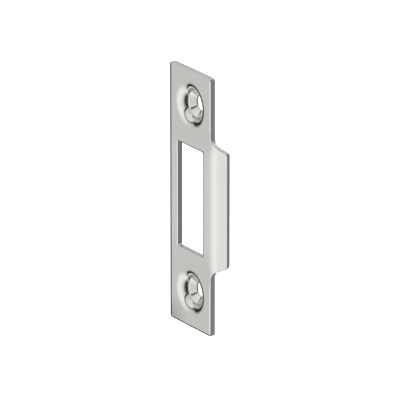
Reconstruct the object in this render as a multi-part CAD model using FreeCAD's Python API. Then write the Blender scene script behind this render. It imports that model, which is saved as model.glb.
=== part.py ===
"""Door strike plate: one piece of pressed sheet steel, in millimetres.

A tall flat plate with a punched window for the bolt, two drawn pockets for screw heads,
and a tapered lip on one long side that is bent back for the latch to ride over.

Frame: the plate stands upright, its length along Z and its width along X. The face that is
seen looks along -Y, and the lip is on the +X side. The origin is on the back face, which
lies on the door frame, midway between the two screws.
"""
import math
import os

import FreeCAD
import Part

Vector = FreeCAD.Vector

# Driving dimensions of the plate
plate_height = 75.0
plate_width = 20.0
sheet = 1.5
plate_corner = 1.0
edge_roll = 0.3

# Driving dimensions of the bolt window
window_height = 30.5
window_width = 12.0
window_corner = 0.5

# Driving dimensions of the countersunk screws and of the pockets drawn for their heads
screw_spacing = 54.5
screw_shank = 4.2
shank_clearance = 0.5
screw_head = 8.0
seat_slope = math.radians(45.0)
seat_round = 0.5
pocket_wall = 0.5
pocket_wall_slope = math.radians(63.0)
pocket_thinning = 0.4
pocket_end_round = 0.5
pocket_rim = 0.5
mouth_round = 3.0
hole_wall = 0.6

# Driving dimensions of the lip
lip_root_height = 38.2
lip_reach = 4.85
lip_angle = math.radians(35.0)
lip_taper = math.radians(25.0)
lip_bend_radius = 4.5
lip_root_round = 2.5
lip_corner = 1.2
lip_strip = 1.0

# Sizes that follow from these
half_width = plate_width / 2
front = -sheet
hole_radius = (screw_shank + shank_clearance) / 2
seat_radius = screw_head / 2
pocket_sheet = sheet - pocket_thinning
wall_run = pocket_wall * math.cos(pocket_wall_slope)
mouth_run = mouth_round * math.sin(pocket_wall_slope)
rim_radius = seat_radius + wall_run + mouth_run + pocket_rim
lip_half = lip_root_height / 2 + 2 * lip_root_round


def rounded_face(corners, radii):
    """Flat face with these corner points, each rounded to its radius, or left sharp for a radius of 0."""
    starts = []
    middles = []
    ends = []
    for i, corner in enumerate(corners):
        before = (corners[i - 1] - corner).normalize()
        after = (corners[(i + 1) % len(corners)] - corner).normalize()
        half_angle = before.getAngle(after) / 2
        run = radii[i] / math.tan(half_angle)
        inward = (before + after).normalize()
        starts.append(corner + before * run)
        middles.append(corner + inward * (radii[i] / math.sin(half_angle) - radii[i]))
        ends.append(corner + after * run)
    edges = []
    for i, radius in enumerate(radii):
        if radius > 0:
            edges.append(Part.Arc(starts[i], middles[i], ends[i]).toShape())
        edges.append(Part.makeLine(ends[i], starts[(i + 1) % len(starts)]))
    return Part.Face(Part.Wire(edges))


def upright_sheet(width, height, corner_radius):
    """Flat sheet of the stock thickness, centred on the origin, with rounded corners."""
    x = width / 2
    z = height / 2
    corners = [Vector(-x, front, -z), Vector(x, front, -z), Vector(x, front, z), Vector(-x, front, z)]
    return rounded_face(corners, [corner_radius] * 4).extrude(Vector(0, sheet, 0))


def on_bend(radius, turn):
    """Point of the lip's bend at this radius, after the sheet has turned this far out of the plate."""
    return Vector(half_width + radius * math.sin(turn), front + lip_bend_radius - radius * math.cos(turn), 0)


def lip_side(sign):
    """Block that cuts one tapered side of the lip square to its sheet, rounded into the plate's edge."""
    square_to_side = Vector(
        math.sin(lip_taper) * math.cos(lip_angle),
        math.sin(lip_taper) * math.sin(lip_angle),
        sign * math.cos(lip_taper),
    )
    out = Vector(1, 0, 0)
    through = out.cross(square_to_side).normalize()
    up = through.cross(out)
    along = (out * square_to_side.dot(up) - up * square_to_side.dot(out)).normalize()
    far = 2 * lip_half
    root = Vector(half_width, front, sign * lip_root_height / 2)
    corners = [root + up * far, root, root + along * far, root + along * far + up * far * 2]
    side = rounded_face(corners, [0, lip_root_round, 0, 0])
    return side.extrude(through * far * 2).translated(through * -far)


def bent_lip():
    """Lip with its bend and a narrow strip of the plate beside it."""
    along = Vector(math.cos(lip_angle), math.sin(lip_angle), 0)
    across = Vector(-math.sin(lip_angle), math.cos(lip_angle), 0)
    inner = lip_bend_radius - sheet
    tip = on_bend(lip_bend_radius, lip_angle)
    tip += along * ((half_width + lip_reach - tip.x) / along.x)
    front_start = Vector(half_width - lip_strip, front, 0)
    back_start = Vector(half_width - lip_strip, 0, 0)
    front_bend = [on_bend(lip_bend_radius, lip_angle * share) for share in (0, 0.5, 1)]
    back_bend = [on_bend(inner, lip_angle * share) for share in (1, 0.5, 0)]
    section = Part.Wire([
        Part.makeLine(front_start, front_bend[0]),
        Part.Arc(*front_bend).toShape(),
        Part.makeLine(front_bend[-1], tip),
        Part.makeLine(tip, tip + across * sheet),
        Part.makeLine(tip + across * sheet, back_bend[0]),
        Part.Arc(*back_bend).toShape(),
        Part.makeLine(back_bend[-1], back_start),
        Part.makeLine(back_start, front_start),
    ])
    lip = Part.Face(section).extrude(Vector(0, 0, 2 * lip_half)).translated(Vector(0, 0, -lip_half))
    for sign in (1, -1):
        lip = lip.cut(lip_side(sign))
    return lip, across


def screw_pocket(z):
    """Drawn pocket for one screw head: rounded mouth, sloping wall, conical seat and the screw's hole."""
    seat_depth = mouth_round * (1 - math.cos(pocket_wall_slope)) + pocket_wall * math.sin(pocket_wall_slope)
    mouth_corner = seat_radius + seat_depth / math.tan(pocket_wall_slope)
    hole_top = seat_depth + (seat_radius - hole_radius) * math.tan(seat_slope)
    hole_bottom = hole_top + hole_wall

    # The back of the pocket lies one thinned sheet behind its wall and its seat
    halfway = (pocket_wall_slope + seat_slope) / 2
    reach = pocket_sheet / math.cos((pocket_wall_slope - seat_slope) / 2)
    heel_radius = seat_radius + reach * math.sin(halfway)
    heel_depth = seat_depth + reach * math.cos(halfway)
    end_radius = heel_radius - (hole_bottom - heel_depth) / math.tan(seat_slope)
    back_corner = heel_radius + (heel_depth - sheet) / math.tan(pocket_wall_slope)

    section = [
        (rim_radius, 0, 0),
        (mouth_corner, 0, mouth_round),
        (seat_radius, seat_depth, seat_round),
        (hole_radius, hole_top, 0),
        (hole_radius, hole_bottom, 0),
        (end_radius, hole_bottom, pocket_end_round),
        (heel_radius, heel_depth, seat_round + pocket_sheet),
        (back_corner, sheet, max(mouth_round - sheet, 0)),
        (rim_radius, sheet, 0),
    ]
    corners = [Vector(radius, front + depth, 0) for radius, depth, _ in section]
    ring = rounded_face(corners, [rounding for _, _, rounding in section])
    return ring.revolve(Vector(0, 0, 0), Vector(0, 1, 0), 360).translated(Vector(0, 0, z))


def looks_forward(face):
    """Whether a face belongs to the side that is seen, bend and lip included."""
    u_low, u_high, v_low, v_high = face.ParameterRange
    return face.normalAt((u_low + u_high) / 2, (v_low + v_high) / 2).y < -0.5


def outline_edges(solid):
    """Edges between the seen side and the cut sides of the sheet."""
    found = []
    for edge in solid.Edges:
        forward = [looks_forward(face) for face in solid.ancestorsOfType(edge, Part.Face)]
        if forward.count(True) == 1:
            found.append(edge)
    return found


def edges_along(solid, direction):
    """Straight edges that run in this direction."""
    straight = [edge for edge in solid.Edges if edge.Curve.TypeId == "Part::GeomLine"]
    return [edge for edge in straight if abs(edge.Curve.Direction.dot(direction)) > 0.99999]


# The plate with its window, and the lip joined on where a strip of the plate's edge makes room for it
plate = upright_sheet(plate_width, plate_height, plate_corner)
plate = plate.cut(upright_sheet(window_width, window_height, window_corner))
lip, across_lip = bent_lip()
strip_room = Part.makeBox(lip_strip, sheet, 2 * lip_half, Vector(half_width - lip_strip, front, -lip_half))
body = plate.cut(strip_room).fuse(lip).removeSplitter().Solids[0]

# The lip's two free corners, then the rolled edge that the press leaves on the seen side
body = body.makeFillet(lip_corner, edges_along(body, across_lip))
body = body.makeFillet(edge_roll, outline_edges(body))

# The two screw pockets
for z in (screw_spacing / 2, -screw_spacing / 2):
    opening = Part.makeCylinder(rim_radius, sheet, Vector(0, front, z), Vector(0, 1, 0))
    body = body.cut(opening).fuse(screw_pocket(z))
body = body.removeSplitter().Solids[0]

os.makedirs("parts", exist_ok=True)
body.exportStep("parts/strike_plate.step")
print("strike_plate", body.isValid(), len(body.Faces), round(body.Volume, 2), body.BoundBox)
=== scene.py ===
"""Looks of the door strike plate: pressed steel with a satin nickel finish, in soft studio light.

Lengths are in metres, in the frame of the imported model: Z up along the plate, X across it towards
the lip, and -Y out of the face that is seen. The origin is on the plate's back face.
"""
import math

import bpy
from mathutils import Matrix, Vector


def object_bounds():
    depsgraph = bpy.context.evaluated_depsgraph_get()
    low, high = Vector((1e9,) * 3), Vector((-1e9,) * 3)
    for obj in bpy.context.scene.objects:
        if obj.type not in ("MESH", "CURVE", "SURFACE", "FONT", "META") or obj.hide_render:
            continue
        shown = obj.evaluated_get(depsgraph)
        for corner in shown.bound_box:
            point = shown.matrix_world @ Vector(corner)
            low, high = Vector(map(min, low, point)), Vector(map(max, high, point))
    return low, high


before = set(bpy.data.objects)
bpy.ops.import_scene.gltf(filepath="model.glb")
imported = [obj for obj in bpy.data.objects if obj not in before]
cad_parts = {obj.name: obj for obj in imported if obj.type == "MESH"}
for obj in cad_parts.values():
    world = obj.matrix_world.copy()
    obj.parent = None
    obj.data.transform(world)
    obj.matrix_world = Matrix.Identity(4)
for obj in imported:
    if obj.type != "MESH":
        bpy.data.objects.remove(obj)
cad_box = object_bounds()

# The camera, as the photograph was taken: its direction from the plate, its distance, its focal length
# in pixels, and the pixel of the origin
photo_pixels = 400
camera_azimuth = math.radians(55.7)
camera_elevation = math.radians(19.5)
camera_distance = 1.6
focal_pixels = 5808.0
origin_pixel_x = 194.6
origin_pixel_y = 198.3

# Brightness of the studio by compass direction, in degrees from +X towards +Y: its walls, its ceiling,
# and the narrow dark gap between them
wall_light = (
    (-180, 0.03),
    (-162, 0.03),
    (-149, 0.77),
    (-139, 0.82),
    (-130, 1.02),
    (-99, 1.25),
    (-79, 1.12),
    (-56, 0.90),
    (-34, 0.06),
    (-5, 0.06),
    (15, 0.30),
    (95, 0.33),
    (125, 0.03),
    (180, 0.03),
)
gap_light = (
    (-180, 0.50),
    (-155, 0.18),
    (-139, 0.42),
    (-90, 0.50),
    (-60, 0.06),
    (0, 0.20),
    (90, 0.80),
    (146, 0.68),
    (180, 0.50),
)
ceiling_light = (
    (-180, 0.90),
    (-139, 1.05),
    (-79, 0.95),
    (0, 0.60),
    (70, 1.0),
    (145, 0.70),
    (180, 0.90),
)

# The ceiling's lower edge: its height as the sine of its elevation, how much it leans down towards the
# side behind the plate, the width of the gap below it, and how softly the gap begins and ends
ceiling_edge = 0.435
ceiling_lean = 0.06
lean_azimuth = math.radians(145)
gap_width = 0.085
gap_softness = 0.11

# Satin nickel: two shades that cloud into each other, a lighter one painted on as sheen beside the window,
# and a darker one painted on as shade
warm_nickel = (0.675, 0.66, 0.63, 1)
cool_nickel = (0.67, 0.67, 0.655, 1)
# Painted sheen: lighter nickel for the band beside the window
painted_sheen_nickel = (0.723, 0.72, 0.703, 1)
# Painted shade: darker nickel for the window's cut walls and the lower left corner
painted_shade_nickel = (0.42, 0.42, 0.41, 1)

# What the finish shows: the size and detail of its clouds, its grain and its faint waves, the values of the
# noise between which one shade clouds into the other, and the heights of the grain and the waves
cloud_size = 0.012
cloud_detail = 4.0
cloud_start = 0.35
cloud_end = 0.65
grain_size = 0.00025
grain_detail = 2.0
grain_height = 0.0000006
wave_size = 0.022
wave_detail = 1.0
wave_height = 0.00015

# Roughness of the finish: the least, and what the clouds and the grain add to it
least_roughness = 0.025
cloud_roughness = 0.02
grain_roughness = 0.01

# The lip's bend begins softly inside the plate's edge: where it begins and ends across the plate, how
# far the surface falls, and where and how softly the stretch beside the lip ends
bend_start = 0.0076
bend_end = 0.013
bend_fall = 0.00032
bend_half_height = 0.0195
bend_fade = 0.004

# The window, how sharply its cut walls begin and how much painted shade darkens them, and how softly the
# painted sheen beside it ends
window_half_width = 0.006
window_half_height = 0.01525
wall_fade = 0.0002
wall_painted_shade = 0.5
sheen_fade = 0.004

# The press rolls the outline over: how wide the roll is on the left, on the right, at the bottom and round
# the window, how far the surface falls in it, its share round the window, and where and how softly it
# begins past the lip
left_roll = 0.001
right_roll = 0.0007
bottom_roll = 0.0006
window_roll = 0.0006
roll_fall = 0.0002
window_share = 0.5
lip_end = 0.021
roll_fade = 0.003

# The line at the edge of a screw's seat: the pockets' height, the line's radius, half its width, its depth
pocket_height = 0.02725
seat_line = 0.0039
seat_line_half = 0.00015
seat_line_depth = 0.00006

# The lower left corner is darker with painted shade: where that begins and ends across the plate and along
# it, and how far it goes
shade_start_across = 0.0
shade_end_across = -0.011
shade_start_along = -0.028
shade_end_along = -0.0375
corner_painted_shade = 0.8

# The floor: half its width, and its roughness
floor_half = 2.0
floor_roughness = 0.9


class Wire:
    """Output of a shader node. Arithmetic on it adds Math nodes to the same board."""

    def __init__(self, board, socket):
        self.board = board
        self.socket = socket

    def __add__(self, other):
        return self.board.maths("ADD", self, other)

    def __radd__(self, other):
        return self.board.maths("ADD", other, self)

    def __sub__(self, other):
        return self.board.maths("SUBTRACT", self, other)

    def __rsub__(self, other):
        return self.board.maths("SUBTRACT", other, self)

    def __mul__(self, other):
        return self.board.maths("MULTIPLY", self, other)

    def __rmul__(self, other):
        return self.board.maths("MULTIPLY", other, self)

    def __truediv__(self, other):
        return self.board.maths("DIVIDE", self, other)

    def __abs__(self):
        return self.board.maths("ABSOLUTE", self, 0)


class Board:
    """The shader nodes of one material or world."""

    def __init__(self, owner):
        owner.use_nodes = True
        self.tree = owner.node_tree
        self.tree.nodes.clear()

    def add(self, kind, settings, sockets, output=0):
        """Adds a node, with its settings set first, and puts a value or a wire on each socket."""
        node = self.tree.nodes.new("ShaderNode" + kind)
        for name, value in settings.items():
            if name == "stops":
                set_stops(node.color_ramp.elements, value)
            else:
                setattr(node, name, value)
        for name, value in sockets.items():
            if isinstance(value, Wire):
                self.tree.links.new(value.socket, node.inputs[name])
            else:
                node.inputs[name].default_value = value
        return Wire(self, node.outputs[output]) if node.outputs else None

    def maths(self, operation, first, second):
        """Adds a Math node."""
        return self.add("Math", {"operation": operation}, {0: first, 1: second})

    def mix(self, factor, first, second):
        """Mixes two colours."""
        sockets = {"Factor": factor, "A": first, "B": second}
        return self.add("Mix", {"data_type": "RGBA"}, sockets, "Result")

    def noise(self, place, size, detail):
        """Even noise whose lumps have about this size."""
        return self.add("TexNoise", {}, {"Vector": place, "Scale": 1 / size, "Detail": detail})

    def slope(self, value, low, high):
        """Goes smoothly from 0 at low to 1 at high."""
        settings = {"interpolation_type": "SMOOTHERSTEP"}
        return self.add("MapRange", settings, {"Value": value, "From Min": low, "From Max": high})


def set_stops(elements, stops):
    """Sets a colour ramp to these (place, brightness) stops."""
    while len(elements) > 1:
        elements.remove(elements[0])
    for count, (place, brightness) in enumerate(stops):
        element = elements[0] if count == 0 else elements.new(place)
        element.position = place
        element.color = (brightness, brightness, brightness, 1)


def light_from(board, turn, light_by_azimuth):
    """Brightness of one part of the studio all round."""
    stops = [(azimuth / 360 + 0.5, brightness) for azimuth, brightness in light_by_azimuth]
    return board.add("ValToRGB", {"stops": stops}, {0: turn}, "Color")


def light_the_studio():
    """Soft light from walls and ceiling, with a dark gap between them and a white backdrop."""
    world = bpy.data.worlds.new("studio")
    bpy.context.scene.world = world
    board = Board(world)
    direction = board.add("TexCoord", {}, {}, "Generated")
    x, y, z = (board.add("SeparateXYZ", {}, {0: direction}, axis) for axis in "XYZ")
    turn = board.maths("ARCTAN2", y, x) / (2 * math.pi) + 0.5
    walls = light_from(board, turn, wall_light)
    gap = light_from(board, turn, gap_light)
    ceiling = light_from(board, turn, ceiling_light)
    height = z + ceiling_lean * (x * math.cos(lean_azimuth) + y * math.sin(lean_azimuth))
    gap_bottom = ceiling_edge - gap_width / 2
    gap_top = ceiling_edge + gap_width / 2
    light = board.mix(board.slope(height, gap_bottom - gap_softness, gap_bottom), walls, gap)
    light = board.mix(board.slope(height, gap_top, gap_top + gap_softness), light, ceiling)
    seen = board.add("LightPath", {}, {}, "Is Camera Ray")
    backdrop = board.add("Background", {}, {"Color": board.mix(seen, light, (1, 1, 1, 1))})
    board.add("OutputWorld", {}, {"Surface": backdrop})
    bpy.context.scene.view_settings.view_transform = "Standard"


def soft_bend(board, across, along):
    """How far the surface has fallen in the soft start of the lip's bend, from 0 to 1."""
    beside_lip = 1 - board.slope(abs(along), bend_half_height - bend_fade, bend_half_height)
    return beside_lip * board.slope(across, bend_start, bend_end)


def from_window(board, across, along):
    """Distance over the plate from the window's edge."""
    return board.maths("MAXIMUM", abs(across) - window_half_width, abs(along) - window_half_height)


def rolled_outline(board, across, along):
    """How far the surface has fallen where the press has rolled the outline over, in shares of its fall."""
    half_width = -cad_box[0].x
    bottom = cad_box[0].z
    sill = -window_half_height
    left = 1 - board.slope(across, -half_width, left_roll - half_width)
    right = board.slope(across, half_width - right_roll, half_width)
    past_lip = board.slope(abs(along), lip_end, lip_end + roll_fade)
    below = 1 - board.slope(along, bottom, bottom + bottom_roll)
    window = 1 - board.slope(from_window(board, across, along), 0, window_roll)
    above_sill = board.slope(along, sill, sill + window_roll)
    return left + right * past_lip + below + window_share * window * above_sill


def seat_lines(board, across, along):
    """The fine line at the edge of each screw's seat, from 0 beside it to 1 in its middle."""
    from_pocket = abs(along) - pocket_height
    radius = board.maths("SQRT", across * across + from_pocket * from_pocket, 0)
    return 1 - board.slope(abs(radius - seat_line), 0, seat_line_half)


def nickel_colour(board, across, along, clouds):
    """Clouded nickel, with a painted sheen beside the window and painted shade on its cut walls and in the
    lower left corner.
    """
    nickel = board.mix(board.slope(clouds, cloud_start, cloud_end), warm_nickel, cool_nickel)
    beside_window = 1 - board.slope(abs(along), window_half_height - sheen_fade, window_half_height + sheen_fade)
    before_bend = 1 - board.slope(across, window_half_width, bend_end)
    # Painted sheen: the band beside the window is lighter
    nickel = board.mix(beside_window * before_bend, nickel, painted_sheen_nickel)
    # Painted shade: the window's cut walls and the lower left corner are darker
    cut_wall = 1 - board.slope(from_window(board, across, along), 0, wall_fade)
    to_left = 1 - board.slope(across, shade_end_across, shade_start_across)
    to_bottom = 1 - board.slope(along, shade_end_along, shade_start_along)
    return board.mix(wall_painted_shade * cut_wall + corner_painted_shade * to_left * to_bottom, nickel, painted_shade_nickel)


def satin_nickel():
    """Satin nickel on pressed steel: marks of the press, faint waves, soft clouding and a fine grain."""
    material = bpy.data.materials.new("satin_nickel")
    board = Board(material)
    place = board.add("TexCoord", {}, {}, "Object")
    across = board.add("SeparateXYZ", {}, {0: place}, "X")
    along = board.add("SeparateXYZ", {}, {0: place}, "Z")
    clouds = board.noise(place, cloud_size, cloud_detail)
    grain = board.noise(place, grain_size, grain_detail)
    waves = board.noise(place, wave_size, wave_detail)
    reliefs = (
        (1 - soft_bend(board, across, along), bend_fall),
        (1 - rolled_outline(board, across, along), roll_fall),
        (1 - seat_lines(board, across, along), seat_line_depth),
        (waves, wave_height),
        (grain, grain_height),
    )
    surface = {}
    for relief, height in reliefs:
        surface = {"Normal": board.add("Bump", {}, {"Height": relief, "Distance": height, **surface})}
    shader = board.add("BsdfPrincipled", {}, {
        "Base Color": nickel_colour(board, across, along, clouds),
        "Metallic": 1.0,
        "Roughness": least_roughness + cloud_roughness * clouds + grain_roughness * grain,
        **surface,
    })
    board.add("OutputMaterial", {}, {"Surface": shader})
    return material


def white_floor():
    """Plain white floor under the plate, which lights nothing and casts no reflection on the metal."""
    half = floor_half
    height = cad_box[0].z
    corners = [(-half, -half, height), (half, -half, height), (half, half, height), (-half, half, height)]
    mesh = bpy.data.meshes.new("floor")
    mesh.from_pydata(corners, [], [(0, 1, 2, 3)])
    floor = bpy.data.objects.new("floor", mesh)
    bpy.context.scene.collection.objects.link(floor)
    material = bpy.data.materials.new("floor_white")
    board = Board(material)
    white = (1, 1, 1, 1)
    shader = board.add("BsdfPrincipled", {}, {
        "Base Color": white,
        "Roughness": floor_roughness,
        "Emission Color": white,
        "Emission Strength": 1.0,
    })
    board.add("OutputMaterial", {}, {"Surface": shader})
    mesh.materials.append(material)
    floor.visible_glossy = False
    floor.visible_diffuse = False


def photo_camera():
    """Camera at the photograph's viewing angle."""
    data = bpy.data.cameras.new("camera")
    data.sensor_width = 36.0
    data.lens = focal_pixels / photo_pixels * data.sensor_width
    camera = bpy.data.objects.new("camera", data)
    bpy.context.scene.collection.objects.link(camera)
    turn = Matrix.Rotation(camera_azimuth, 3, "Z") @ Matrix.Rotation(math.pi / 2 - camera_elevation, 3, "X")
    pixel = camera_distance / focal_pixels
    aside = (photo_pixels / 2 - origin_pixel_x) * pixel
    upward = (origin_pixel_y - photo_pixels / 2) * pixel
    camera.location = turn @ Vector((aside, upward, camera_distance))
    camera.rotation_euler = turn.to_euler()
    bpy.context.scene.camera = camera


light_the_studio()
white_floor()
photo_camera()
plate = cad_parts["strike_plate"]
plate.material_slots[0].material = satin_nickel()
